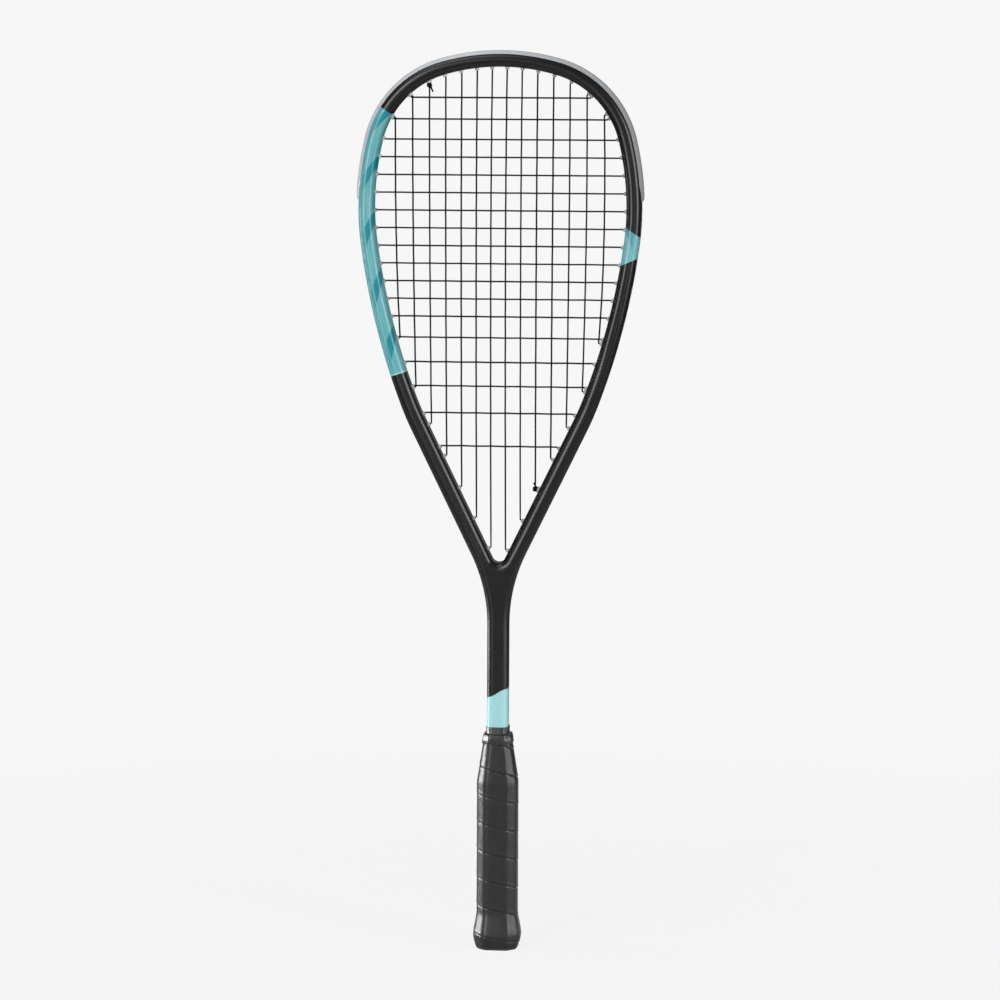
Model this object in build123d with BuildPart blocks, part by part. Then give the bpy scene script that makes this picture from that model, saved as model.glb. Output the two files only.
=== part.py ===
from build123d import *
from math import ceil, cos, radians, sin
import os

# Squash racket, millimetres. +Z runs up the shaft from the butt to the head, X lies across the head
# and Y is square to the strings. The origin is the middle of the butt's flat end.

# ---------------------------------------------------------------- driving dimensions
racket_length = 686.5
frame_depth = 19.0            # along Y, hoop, legs and shaft alike
frame_edge_radius = 4.8       # each long edge is rounded in three flats
shaft_width = 16.0
throat_radius = 123.0         # outer blend from each leg into the shaft
throat_inner_radius = 5.5     # bottom of the open throat

# Outer outline of the hoop from the middle of its top down to the leg: (radius, degrees turned).
hoop_arcs = [(164.0, 16.0), (79.8, 60.4), (226.0, 13.6), (200.0, 7.4), (543.0, 13.5), (225.0, 5.1)]
arcs_above_side = 3           # the first three turn to the widest point, the rest into the leg
tube_width_top = 10.4         # in the plane of the strings
tube_width_side = 11.4
lower_radius_cut = 19.0       # how much smaller the inner radii are below the widest point

groove_width = 5.2            # string groove round the outside of the tube
groove_depth = 2.6
groove_run_out = 8.0          # degrees of the throat blend that the groove follows
hole_sides = 4
hole_radius = 1.8             # over the corners, one of which points along Y
fit_clearance = 0.05

bumper_top_thickness = 2.1    # beyond the frame
bumper_side_thickness = 1.9
bumper_end_angle = 88.2       # degrees round from the middle of the top
bumper_width = 8.6
strip_floor = 0.9             # plastic under the string
strip_top_inset = 0.15        # strip's lips below the frame's surface
strip_end_gap = 0.6           # degrees between the bumper and a side strip
channel_width = 3.3
barrel_reach = 1.8            # barrel's end beyond the inside of the hoop
bore_radius = 1.0             # over the corners
extra_hole_shift = 1.5        # second bore of a double barrel

string_diameter = 1.28        # over the corners
string_sides = 4
string_gap = 0.03
string_bend = 1.0             # string straightens this far outside a barrel
lane_offset = 0.9             # strings side by side in the channel
lane_start = 0.9              # distance from its bore where a string is in its lane
channel_step = 14.0           # longest straight of the string round the outside
channel_gap = 0.36            # ends of such a straight above the channel's floor
mains_per_side = 7
main_pitch_top = 11.2
main_spread_top = 0.172
main_pitch_bottom = 11.1
main_spread_bottom = 0.093
main_shift_top = -0.7         # all mains sit this far off the middle
main_shift_bottom = -0.4
sway_height = 540.0           # here the mains lie out of line
main_sway = 0.2               # sideways for each main away from the fifth
main_bow = 1.7                # outwards, for the outermost pair
first_cross_drop = 35.6       # below the racket's top
cross_gaps = [16.2, 15.2] + 10 * [13.35] + [16.0, 18.6, 18.2, 20.4, 25.2]
tunnel_drop = 7.5             # centre of the throat's cross hole below the open throat
knot_turns = 2
knot_steps = 8
knot_start = 1.0
tail_length = 4.0

handle_width = 31.6           # over the grip
handle_depth = 27.0
handle_bevel = 6.8
handle_top = 130.0            # the straight handle ends and the cone starts
cone_top = 167.0
cone_top_width = 20.4
cone_top_depth = 22.6
cone_top_bevel = 4.6
grip_thickness = 1.7
flare_top = 27.0
flare_height = 10.0           # where the butt is widest
flare_growth = 2.5            # beyond the straight handle, on every side
butt_growth = 0.5
butt_lip = 2.0                # part of the butt cap left bare
butt_round_height = 0.8       # the butt's lower edge is rounded in two flats
butt_round_growth = -0.4
butt_end_growth = -1.6
cap_floor = 3.0
cap_skirt = 1.3
skirt_top = 21.0
pallet_short = 9.0            # pallet's end below the grip's
tape_bottom = 160.0
tape_top = 173.0
tape_thickness = 0.5
tape_step = 0.5               # height over which the tape steps down on to the shaft
tape_ring_bevel = 3.3
staple_height = 15.0
staple_crown = 9.0
staple_wire = 0.8
staple_leg = 5.0

# ---------------------------------------------------------------- derived sizes
frame_top = racket_length - bumper_top_thickness
leg_turn = sum(sweep for _, sweep in hoop_arcs)
leg_angle = leg_turn - 90
frame_bottom = cap_floor
edge_cuts = [frame_edge_radius * (2 - 2**0.5), frame_edge_radius * 0.215]
floor_inset = groove_depth - strip_floor
string_inset = floor_inset - string_diameter / 2 - channel_gap
weave_rise = string_diameter + string_gap
barrel_radius = hole_radius - fit_clearance
strip_width = groove_width - 2 * fit_clearance


# ---------------------------------------------------------------- flat-sided bodies
def skinned(rings):
    """Solid with flat faces between successive rings of corners and across both ends."""
    faces = [Face(Wire.make_polygon(rings[0])), Face(Wire.make_polygon(rings[-1]))]
    for ring, next_ring in zip(rings, rings[1:]):
        corners = [*zip(ring, next_ring)]
        for (low, high), (next_low, next_high) in zip(corners, corners[1:] + corners[:1]):
            faces.append(Face(Wire.make_polygon([low, next_low, next_high, high])))
    return Solid(Shell(faces))


# ---------------------------------------------------------------- hoop outlines
def outline(top_inset, inset_above, inset_below):
    """Arcs of an outline inside the hoop's outer one: its height at the top and (radius, sweep) pairs."""
    arcs = []
    for number, (radius, sweep) in enumerate(hoop_arcs):
        inset = inset_above if number < arcs_above_side else inset_below
        arcs.append((radius - inset, sweep))
    return frame_top - top_inset, arcs


def parallel(inset):
    return outline(inset, inset, inset)


def outline_point(shape, angle):
    """Point of an outline where it has turned by an angle from the middle of the top."""
    height, arcs = shape
    x, turned = 0.0, 0.0
    for radius, sweep in arcs:
        step = max(0.0, min(sweep, angle - turned))
        start, end = radians(turned), radians(turned + step)
        x += radius * (sin(end) - sin(start))
        height += radius * (cos(end) - cos(start))
        turned += step
    return x, height


def draw_arcs(shape, begin=0.0, end=leg_turn):
    """Draw the right-hand side of an outline as tangent arcs and return the last one."""
    turned = 0.0
    last = None
    for radius, sweep in shape[1]:
        start, stop = max(turned, begin), min(turned + sweep, end)
        if stop > start:
            heading = (cos(radians(start)), -sin(radians(start)))
            last = JernArc(outline_point(shape, start), heading, radius, start - stop)
        turned += sweep
    return last


def draw_leg(last, length):
    return Line(last @ 1, (last @ 1) + (last % 1) * length)


tube_outer = parallel(0)
tube_inner = outline(tube_width_top, tube_width_side, lower_radius_cut)
outer_end_x, outer_end_z = outline_point(tube_outer, leg_turn)
inner_end_x, inner_end_z = outline_point(tube_inner, leg_turn)
leg_sin, leg_cos = sin(radians(leg_angle)), cos(radians(leg_angle))
outer_leg = (outer_end_x - shaft_width / 2 - throat_radius * (1 - leg_cos)) / leg_sin
inner_leg = (inner_end_x - throat_inner_radius * leg_cos) / leg_sin
throat_bottom = inner_end_z - inner_leg * leg_cos - throat_inner_radius * (1 - leg_sin)


def draw_ring_side(inset, begin=0.0):
    """Right-hand side of an outline down the leg and along the start of the throat blend."""
    arcs = draw_arcs(parallel(inset), begin)
    leg = draw_leg(arcs, outer_leg)
    return JernArc(leg @ 1, leg % 1, throat_radius + inset, groove_run_out)


# ---------------------------------------------------------------- frame
def runs_round(edge):
    """True for the long edges, which keep one distance from the plane of the strings."""
    return abs((edge @ 0).Y - (edge @ 1).Y) < 0.001 and edge.center().Z > frame_bottom + 1


with BuildPart() as frame:
    with BuildSketch(Plane.XZ):
        with BuildLine():
            leg = draw_leg(draw_arcs(tube_outer), outer_leg)
            blend = JernArc(leg @ 1, leg % 1, throat_radius, leg_angle)
            shaft_side = Line(blend @ 1, ((blend @ 1).X, frame_bottom))
            Line(shaft_side @ 1, (0, frame_bottom))
            mirror(about=Plane.YZ)
        make_face()
        with BuildLine():
            leg = draw_leg(draw_arcs(tube_inner), inner_leg)
            JernArc(leg @ 1, leg % 1, throat_inner_radius, leg_angle - 90)
            mirror(about=Plane.YZ)
        make_face(mode=Mode.SUBTRACT)
    extrude(amount=frame_depth / 2, both=True)
    for cut in edge_cuts:
        chamfer(frame.edges().filter_by(runs_round), cut)


# ---------------------------------------------------------------- string holes
class Hole:
    """A string hole square through the tube, on one side of the racket."""

    def __init__(self, along, side):
        self.along = along
        self.side = side
        inside = inner_line @ along
        heading = inner_line % along
        outward = Vector(-heading.Z, 0, heading.X)
        self.channel = meet(lambda v: ((channel_line @ v) - inside).dot(heading))
        across = channel_line @ self.channel
        self.mouth = inside - outward * barrel_reach
        self.bend = self.mouth - outward * string_bend
        self.outer = across
        self.outward = outward
        self.length = (across - self.mouth).length - (floor_inset - string_inset)
        if side < 0:
            for name in ("mouth", "bend", "outer", "outward"):
                point = getattr(self, name)
                setattr(self, name, Vector(-point.X, 0, point.Z))

    @property
    def plane(self):
        return Plane(origin=self.mouth, x_dir=(0, 1, 0), z_dir=self.outward)


def meet(test, low=0.0, high=1.0):
    """Place on a line where a test turns from negative to positive."""
    for _ in range(24):
        middle = (low + high) / 2
        if test(middle) < 0:
            low = middle
        else:
            high = middle
    return (low + high) / 2


def bend_point(along):
    heading = inner_line % along
    outward = Vector(-heading.Z, 0, heading.X)
    return (inner_line @ along) - outward * (barrel_reach + string_bend)


with BuildLine(Plane.XZ) as inner_side:
    draw_leg(draw_arcs(tube_inner), inner_leg)
inner_line = inner_side.wire()
with BuildLine(Plane.XZ) as channel_side:
    draw_ring_side(string_inset)
channel_line = channel_side.wire()
widest = meet(lambda u: -(inner_line % u).X)


def main_x(number, pitch, spread):
    return pitch * (number - 0.5) + spread * (number - 1) ** 2


def main_hole(number, side, top):
    if top:
        x = main_x(number, main_pitch_top, main_spread_top) + side * main_shift_top
        along = meet(lambda u: bend_point(u).X - x, 0, widest)
    else:
        x = main_x(number, main_pitch_bottom, main_spread_bottom) + side * main_shift_bottom
        along = meet(lambda u: x - bend_point(u).X, widest, 1)
    return Hole(along, side)


# Mains are numbered outwards from the middle, crosses from the top.
main_tops = {}
main_bottoms = {}
for number in range(1, mains_per_side + 1):
    for side in (-1, 1):
        main_tops[number, side] = main_hole(number, side, True)
        main_bottoms[number, side] = main_hole(number, side, False)
cross_ends = {}
height = racket_length - first_cross_drop
for row, gap in enumerate([0.0] + cross_gaps, 1):
    height -= gap
    along = meet(lambda u: height - bend_point(u).Z)
    for side in (-1, 1):
        cross_ends[row, side] = Hole(along, side)
cross_count = len(cross_gaps) + 1
knot_main_top, knot_main_bottom = 5, 3
shift = extra_hole_shift / inner_line.length
top_tie = Hole(main_tops[knot_main_top, -1].along - shift, -1)
bottom_tie = Hole(main_bottoms[knot_main_bottom, 1].along - shift, 1)
holes = [*main_tops.values(), *main_bottoms.values(), *cross_ends.values(), top_tie, bottom_tie]
tunnel_z = throat_bottom - tunnel_drop
tunnel_along = meet(lambda v: tunnel_z - (channel_line @ v).Z)


def horseshoe(outer_inset, inner_inset):
    """Closed band between two parallel outlines, open at the throat."""
    outer = draw_ring_side(outer_inset)
    inner = draw_ring_side(inner_inset)
    Line(outer @ 1, inner @ 1)
    mirror(about=Plane.YZ)


outside = -2 * bumper_top_thickness
with BuildPart() as groove:
    with BuildSketch(Plane.XZ):
        with BuildLine():
            horseshoe(outside, groove_depth)
        make_face()
    extrude(amount=groove_width / 2, both=True)

with BuildPart() as channel:
    with BuildSketch(Plane.XZ):
        with BuildLine():
            horseshoe(outside, floor_inset)
        make_face()
    extrude(amount=channel_width / 2, both=True)


# ---------------------------------------------------------------- bumper and grommet strips
def barrels(own_holes):
    with BuildPart() as tubes:
        for hole in own_holes:
            with BuildSketch(hole.plane):
                RegularPolygon(barrel_radius, hole_sides)
            extrude(amount=hole.length)
    return tubes.part


def bores(own_holes, radius):
    with BuildPart() as prisms:
        with BuildSketch(*[hole.plane for hole in own_holes]):
            RegularPolygon(radius, hole_sides)
        extrude(amount=tube_width_side * 2)
    return prisms.part


with frame:
    add(groove.part, mode=Mode.SUBTRACT)
    add(bores(holes, hole_radius), mode=Mode.SUBTRACT)
    with BuildSketch(Plane(origin=(0, 0, tunnel_z), x_dir=(0, 1, 0), z_dir=(1, 0, 0))):
        RegularPolygon(bore_radius, hole_sides)
    extrude(amount=shaft_width * 2, both=True, mode=Mode.SUBTRACT)
frame.part.label = "frame"

bumper_reach = meet(lambda v: cos(radians(bumper_end_angle)) - (channel_line % v).X)
bumper_holes = [hole for hole in holes if hole.channel < bumper_reach]
bumper_outer = outline(-bumper_top_thickness, -bumper_side_thickness, -bumper_side_thickness)

with BuildPart() as bumper_guard:
    for inner_inset, width in ((groove_depth, strip_width), (bumper_side_thickness, bumper_width)):
        with BuildSketch(Plane.XZ):
            with BuildLine():
                outer = draw_arcs(bumper_outer, end=bumper_end_angle)
                inner = draw_arcs(parallel(inner_inset), end=bumper_end_angle)
                Line(outer @ 1, inner @ 1)
                mirror(about=Plane.YZ)
            make_face()
        extrude(amount=width / 2, both=True)
    add(frame.part, mode=Mode.SUBTRACT)
    add(barrels(bumper_holes))
    add(channel.part, mode=Mode.SUBTRACT)
    add(bores(bumper_holes, bore_radius), mode=Mode.SUBTRACT)
bumper_guard.part.label = "bumper_guard"


def side_strip(side):
    own_holes = [hole for hole in holes if hole.channel > bumper_reach and hole.side == side]
    begin = bumper_end_angle + strip_end_gap
    with BuildPart() as strip:
        with BuildSketch(Plane.XZ):
            with BuildLine():
                outer = draw_ring_side(strip_top_inset, begin)
                inner = draw_ring_side(groove_depth, begin)
                Line(outer @ 1, inner @ 1)
                Line(outline_point(parallel(strip_top_inset), begin), outline_point(parallel(groove_depth), begin))
            make_face()
        extrude(amount=strip_width / 2, both=True)
        if side < 0:
            mirror(about=Plane.YZ, mode=Mode.REPLACE)
        add(barrels(own_holes))
        add(channel.part, mode=Mode.SUBTRACT)
        add(bores(own_holes, bore_radius), mode=Mode.SUBTRACT)
        with BuildSketch(Plane(origin=(0, 0, tunnel_z), x_dir=(0, 1, 0), z_dir=(side, 0, 0))):
            RegularPolygon(bore_radius, hole_sides)
        extrude(amount=shaft_width * 2, mode=Mode.SUBTRACT)
    return strip


grommet_strip_left = side_strip(-1)
grommet_strip_left.part.label = "grommet_strip_left"
grommet_strip_right = side_strip(1)
grommet_strip_right.part.label = "grommet_strip_right"


# ---------------------------------------------------------------- string
def channel_points(start, finish, side, lane):
    """Centres of the string along the channel, in one of its two lanes."""
    corner = lane_start / channel_line.length
    if finish < start:
        corner = -corner
    start, finish = start + corner, finish - corner
    steps = max(1, ceil(abs(finish - start) * channel_line.length / channel_step))
    places = [channel_line @ (start + (finish - start) * step / steps) for step in range(steps + 1)]
    return [Vector(side * place.X, lane * lane_offset, place.Z) for place in places]


def link(start, finish, lane):
    """From one hole to another round the outside of the frame."""
    return [start.outer, *channel_points(start.channel, finish.channel, start.side, lane), finish.outer]


def throat_run(side):
    """From the lowest main's hole down the channel to the cross hole in the throat."""
    hole = main_bottoms[1, side]
    end = channel_line @ tunnel_along
    return [hole.outer, *channel_points(hole.channel, tunnel_along, side, 0), Vector(side * end.X, 0, end.Z)]


def span(start, finish, between=()):
    """Across the head between two holes."""
    return [start.bend, *between, finish.bend]


def level_point(low, high, level):
    return low + (high - low) * ((level - low.Z) / (high.Z - low.Z))


def sway(number, side):
    """Where a main lies furthest out of line."""
    place = level_point(main_bottoms[number, side].bend, main_tops[number, side].bend, sway_height)
    bow = main_bow * (number / mains_per_side) ** 4
    return place + Vector(main_sway * (number - 5) + side * bow, 0, 0)


def weave(row):
    """Crest of a cross at each main it passes, from left to right."""
    level = cross_ends[row, 1].bend.Z
    crests = []
    for number, side in main_tops:
        top, bottom = main_tops[number, side].bend, main_bottoms[number, side].bend
        if bottom.Z < level < top.Z:
            middle = sway(number, side)
            x = level_point(*((middle, top) if level > sway_height else (bottom, middle)), level).X
            order = number if side > 0 else 1 - number
            crests.append(Vector(x, weave_rise * (-1) ** (order + row), level))
    return sorted(crests, key=lambda crest: crest.X)


def knot(tie, main, way):
    """Turns of the string's end round a main, then its cut tail. way is +1 up the main, -1 down."""
    radius = (string_diameter + string_gap) / cos(radians(180 / knot_steps))
    points = []
    for step in range(knot_turns * knot_steps + 1):
        turn = radians(-45 - 360 * step / knot_steps)
        climb = knot_start + (string_diameter + 2 * string_gap) * step / knot_steps
        level = max(main.bend.Z * way, (tie.mouth.Z - string_bend) * way) * way + way * climb
        points.append(Vector(main.bend.X + radius * cos(turn), radius * sin(turn), level))
    bent = points[-1] + Vector(0.5, -0.6, 0.8 * way)
    return [*points, bent, bent + Vector(1.2, -0.2, tail_length * way)]


route = [top_tie.mouth, *link(top_tie, main_tops[mains_per_side, -1], -1)]
for number in range(mains_per_side, 0, -1):
    top, bottom = main_tops[number, -1], main_bottoms[number, -1]
    down = number % 2 == mains_per_side % 2
    middle = [sway(number, -1)]
    route += span(top, bottom, middle) if down else span(bottom, top, middle)
    if number > 1:
        loop, lane = (main_bottoms, -1) if down else (main_tops, 1)
        route += link(loop[number, -1], loop[number - 1, -1], lane)
route += throat_run(-1)
route += reversed(throat_run(1))
for number in range(1, mains_per_side + 1):
    top, bottom = main_tops[number, 1], main_bottoms[number, 1]
    up = number % 2 == 1
    middle = [sway(number, 1)]
    route += span(bottom, top, middle) if up else span(top, bottom, middle)
    if number < mains_per_side:
        loop, lane = (main_tops, 1) if up else (main_bottoms, -1)
        route += link(loop[number, 1], loop[number + 1, 1], lane)
route += link(main_tops[mains_per_side, 1], cross_ends[1, 1], 1)
for row in range(1, cross_count + 1):
    leftward = row % 2 == 1
    start, finish = cross_ends[row, 1 if leftward else -1], cross_ends[row, -1 if leftward else 1]
    crests = weave(row)
    route += span(start, finish, reversed(crests) if leftward else crests)
    if row < cross_count:
        route += link(finish, cross_ends[row + 1, finish.side], 1)
route += [*link(cross_ends[cross_count, 1], bottom_tie, 1), bottom_tie.mouth]
first_knot = knot(top_tie, main_tops[knot_main_top, -1], -1)
last_knot = knot(bottom_tie, main_bottoms[knot_main_bottom, 1], 1)
path = [*reversed(first_knot), *route, *last_knot]


def square_ring(centre, heading):
    """Corners of the string's first section, one of them towards Y."""
    ring = Plane(origin=centre, x_dir=(0, 1, 0), z_dir=heading)
    radius = string_diameter / 2
    turns = [radians(360 * side / string_sides) for side in range(string_sides)]
    return [ring.from_local_coords((radius * cos(turn), radius * sin(turn))) for turn in turns]


def carried(ring, heading, centre, normal):
    """A section carried along its own straight to the mitre plane at the end of it."""
    return [corner + heading * ((centre - corner).dot(normal) / heading.dot(normal)) for corner in ring]


headings = [(after - before).normalized() for before, after in zip(path, path[1:])]
rings = [square_ring(path[0], headings[0])]
for index, heading in enumerate(headings):
    following = headings[min(index + 1, len(headings) - 1)]
    rings.append(carried(rings[-1], heading, path[index + 1], heading + following))
with BuildPart() as string:
    add(skinned(rings))
string.part.label = "string"

# ---------------------------------------------------------------- handle
def grown(size, growth):
    """Width, depth and bevel of an octagon moved out on every side."""
    width, depth, bevel = size
    return width + 2 * growth, depth + 2 * growth, bevel + growth * (2 - 2**0.5)


def cone_size(height):
    """Width, depth and bevel over the grip where it narrows to the shaft."""
    share = (height - handle_top) / (cone_top - handle_top)
    return [low + (high - low) * share for low, high in zip(handle_size, cone_top_size)]


def stack(stations):
    """Solid through octagons given as (height, (width, depth, bevel))."""
    rings = []
    for height, (width, depth, bevel) in stations:
        x, y = width / 2, depth / 2
        quarter = [(x, y - bevel), (x - bevel, y)]
        half = quarter + [(-a, b) for a, b in reversed(quarter)]
        rings.append([Vector(a, b, height) for a, b in half + [(-a, -b) for a, b in half]])
    return skinned(rings)


def staple_body(side, play=0.0, opening=0.0):
    """U of square wire driven into one side of the butt cap, or the slot round it."""
    middle = staple_face - staple_leg / 2
    with BuildPart() as body:
        with BuildSketch(Plane.XY.offset(staple_height)):
            with Locations((side * (middle + (opening - play) / 2), 0)):
                Rectangle(staple_leg + opening + play, staple_crown + 2 * play)
            with Locations((side * (middle - staple_wire), 0)):
                Rectangle(staple_leg - 2 * play, staple_crown - 2 * (staple_wire + play), mode=Mode.SUBTRACT)
        extrude(amount=staple_wire / 2 + play, both=True)
    return body.part


handle_size = (handle_width, handle_depth, handle_bevel)
cone_top_size = (cone_top_width, cone_top_depth, cone_top_bevel)
skirt_size = grown(handle_size, cap_skirt - grip_thickness)
core_size = grown(handle_size, -grip_thickness)
pallet_top = cone_top - pallet_short

with BuildPart() as butt_cap:
    add(stack([
        (0, grown(handle_size, butt_end_growth)),
        (butt_round_height, grown(handle_size, butt_round_growth)),
        (butt_lip, grown(handle_size, butt_growth)),
    ]))
    add(stack([
        (butt_lip, grown(handle_size, butt_growth - grip_thickness)),
        (flare_height, grown(handle_size, flare_growth - grip_thickness)),
        (skirt_top, skirt_size),
    ]))
    add(stack([(cap_floor, core_size), (racket_length / 2, core_size)]), mode=Mode.SUBTRACT)
with BuildPart() as handle_pallet:
    add(stack([
        (cap_floor, core_size),
        (handle_top, core_size),
        (pallet_top, grown(cone_size(pallet_top), -grip_thickness)),
    ]))
    add(frame.part, mode=Mode.SUBTRACT)
with BuildPart() as grip:
    add(stack([
        (butt_lip, grown(handle_size, butt_growth)),
        (flare_height, grown(handle_size, flare_growth)),
        (skirt_top, grown(handle_size, cap_skirt)),
        (flare_top, handle_size),
        (handle_top, handle_size),
        (cone_top, cone_top_size),
    ]))
    for inner in (butt_cap, handle_pallet, frame):
        add(inner.part, mode=Mode.SUBTRACT)
grip.part.label = "grip"

# The staples sit just under the skirt's sloping sides, in slots that the grip covers.
slope = (cap_skirt - flare_growth) / (skirt_top - flare_height)
staple_growth = flare_growth - grip_thickness + slope * (staple_height + staple_wire - flare_height)
staple_face = handle_width / 2 + staple_growth
with BuildPart() as butt_cap_staples:
    for side in (-1, 1):
        add(staple_body(side))
butt_cap_staples.part.label = "butt_cap_staples"
for body in (butt_cap, handle_pallet):
    with body:
        for side in (-1, 1):
            add(staple_body(side, fit_clearance, cap_skirt), mode=Mode.SUBTRACT)
butt_cap.part.label = "butt_cap"
handle_pallet.part.label = "handle_pallet"

ring_size = (shaft_width + 2 * tape_thickness, frame_depth + 2 * tape_thickness, tape_ring_bevel)
with BuildPart() as finishing_tape:
    add(stack([
        (tape_bottom, grown(cone_size(tape_bottom), tape_thickness)),
        (cone_top, grown(cone_top_size, tape_thickness)),
        (cone_top + tape_step, ring_size),
        (tape_top, ring_size),
    ]))
    for inner in (grip, handle_pallet, frame):
        add(inner.part, mode=Mode.SUBTRACT)
finishing_tape.part.label = "finishing_tape"

os.makedirs("parts", exist_ok=True)
pieces = [
    frame, bumper_guard, grommet_strip_left, grommet_strip_right, string,
    handle_pallet, butt_cap, butt_cap_staples, grip, finishing_tape,
]
for piece in pieces:
    export_step(piece.part, f"parts/{piece.part.label}.step")
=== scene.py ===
"""Squash racket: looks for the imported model. Lengths are in millimetres until they reach a mesh."""
import bmesh
import bpy
import numpy as np
from math import cos, hypot, pi, radians, sin, sqrt
from mathutils import Matrix, Vector


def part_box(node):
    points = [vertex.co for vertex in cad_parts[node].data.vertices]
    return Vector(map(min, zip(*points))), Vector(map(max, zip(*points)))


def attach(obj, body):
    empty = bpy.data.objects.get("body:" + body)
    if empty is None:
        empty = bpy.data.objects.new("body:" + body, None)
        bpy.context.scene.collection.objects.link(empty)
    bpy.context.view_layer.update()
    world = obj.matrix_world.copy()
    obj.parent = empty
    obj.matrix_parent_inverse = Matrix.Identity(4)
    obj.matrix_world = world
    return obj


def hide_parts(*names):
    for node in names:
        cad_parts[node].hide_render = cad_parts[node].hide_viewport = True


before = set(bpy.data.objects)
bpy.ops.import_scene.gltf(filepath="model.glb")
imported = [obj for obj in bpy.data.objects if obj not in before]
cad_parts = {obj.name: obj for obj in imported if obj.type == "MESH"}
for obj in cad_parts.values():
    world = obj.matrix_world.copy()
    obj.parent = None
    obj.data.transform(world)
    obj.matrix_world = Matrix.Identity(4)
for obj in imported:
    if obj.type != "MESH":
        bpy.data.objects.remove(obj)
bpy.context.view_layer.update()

MM = 0.001

# ---------------------------------------------------------------- sizes of the racket
RACKET_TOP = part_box("bumper_guard")[1][2] / MM
FRAME_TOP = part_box("frame")[1][2] / MM
FRAME_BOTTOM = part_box("frame")[0][2] / MM
FRAME_DEPTH = (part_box("frame")[1][1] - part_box("frame")[0][1]) / MM

# Outline of the frame: (radius, sweep in degrees) from the top of the hoop down one side.
HOOP_ARCS = [(164.0, 16.0), (79.8, 60.4), (226.0, 13.6), (200.0, 7.4), (543.0, 13.5), (225.0, 5.1)]
ARCS_ABOVE_SIDE = 3
SHAFT_WIDTH = 16.0
THROAT_RADIUS = 123.0
THROAT_INNER_RADIUS = 5.5
TUBE_WIDTH_TOP = 10.4
TUBE_WIDTH_SIDE = 11.4
LOWER_RADIUS_CUT = 19.0

# Rounding of the tube's long edges. The legs are crowned further in than the hoop and the shaft.
EDGE_RADIUS = 4.8
ROUND_REACH = 5.2
LEG_CROWN = 2.6
CROWN_HEIGHTS = [285, 330, 420, 470]

# String groove, and the guard and strips in it.
GROOVE_WIDTH = 5.2
GROOVE_DEPTH = 2.6
GROOVE_RUN_OUT = 8.0
BUMPER_SIDE = 1.9
BUMPER_END = 88.2
FLANGE_HALF_WIDTH = 7.2
STRIP_FLOOR = 0.9
CHANNEL_WIDTH = 3.3
BARREL_REACH = 1.8
TUNNEL_DROP = 7.5

# String. MAIN_ENDS has pitch, spread and sideways shift of the mains at either end of the bed.
STRING_DIAMETER = 1.28
STRING_BEND = 1.0
LANE_OFFSET = 0.9
LANE_START = 0.9
CHANNEL_GAP = 0.36
MAINS_PER_SIDE = 7
MAIN_ENDS = {"top": (11.2, 0.172, -0.7), "bottom": (11.1, 0.093, -0.4)}
SWAY_HEIGHT = 540.0
MAIN_SWAY = 0.2
MAIN_BOW = 1.7
FIRST_CROSS_DROP = 35.6
CROSS_GAPS = [16.2, 15.2] + 10 * [13.35] + [16.0, 18.6, 18.2, 20.4, 25.2]
EXTRA_HOLE_SHIFT = 1.5
CROSS_RISE = 0.86
MAIN_RISE = 0.40
WAVE_STEPS = 6
KNOT_TURNS = 3
KNOT_STEPS = 14

# Handle: sizes are (width, depth, bevel) of an octagon.
HANDLE = (31.6, 27.0, 6.8)
CONE_TOP = (20.4, 22.6, 4.6)
CONE_START = 130.0
GRIP_TOP = 167.0
TAPE_BOTTOM = 160.0
GRIP_CORNER = 7.5
WRAP_PITCH = 21.6
WRAP_BASE = 1.3
WRAP_EDGE = 0.13
WRAP_TURNS = 10
BEVEL_SHRINK = 2 - sqrt(2)
# Height, and how far the grip stands out over the plain handle there.
GRIP_STATIONS = [(2.0, 0.5), (3.0, 0.85), (4.5, 1.3), (6.5, 1.8), (8.5, 2.25), (10.5, 2.5), (13.0, 2.4), (16.0, 1.95),
                 (19.0, 1.4), (22.0, 0.9), (25.0, 0.4), (28.0, 0.0)]

LEG_TURN = sum(sweep for _, sweep in HOOP_ARCS)
LEG_ANGLE = LEG_TURN - 90
STRING_INSET = GROOVE_DEPTH - STRIP_FLOOR - STRING_DIAMETER / 2 - CHANNEL_GAP


# ---------------------------------------------------------------- paths in the XZ plane
class Path:
    """Tangent arcs and lines, measured along their length. A piece is (length, curvature)."""

    def __init__(self, x, z, heading, pieces):
        self.length = 0.0
        self.knots = []
        for length, curvature in pieces:
            self.knots.append((self.length, x, z, heading, curvature))
            x, z, heading = self.step(x, z, heading, curvature, length)
            self.length += length
        self.end = (x, z, heading)

    @staticmethod
    def step(x, z, heading, curvature, length):
        if curvature == 0:
            return x + length * cos(heading), z + length * sin(heading), heading
        turned = heading + curvature * length
        x += (sin(turned) - sin(heading)) / curvature
        z += (cos(heading) - cos(turned)) / curvature
        return x, z, turned

    def at(self, s):
        """x, z and heading at a length along the path."""
        knot = self.knots[0]
        for candidate in self.knots:
            if candidate[0] <= s:
                knot = candidate
        start, x, z, heading, curvature = knot
        return self.step(x, z, heading, curvature, s - start)


def arcs(inset_above, inset_below):
    """Right-hand arcs of an outline inside the hoop's outer one."""
    pieces = []
    for number, (radius, sweep) in enumerate(HOOP_ARCS):
        radius -= inset_above if number < ARCS_ABOVE_SIDE else inset_below
        pieces.append((radius * radians(sweep), -1 / radius))
    return pieces


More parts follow.
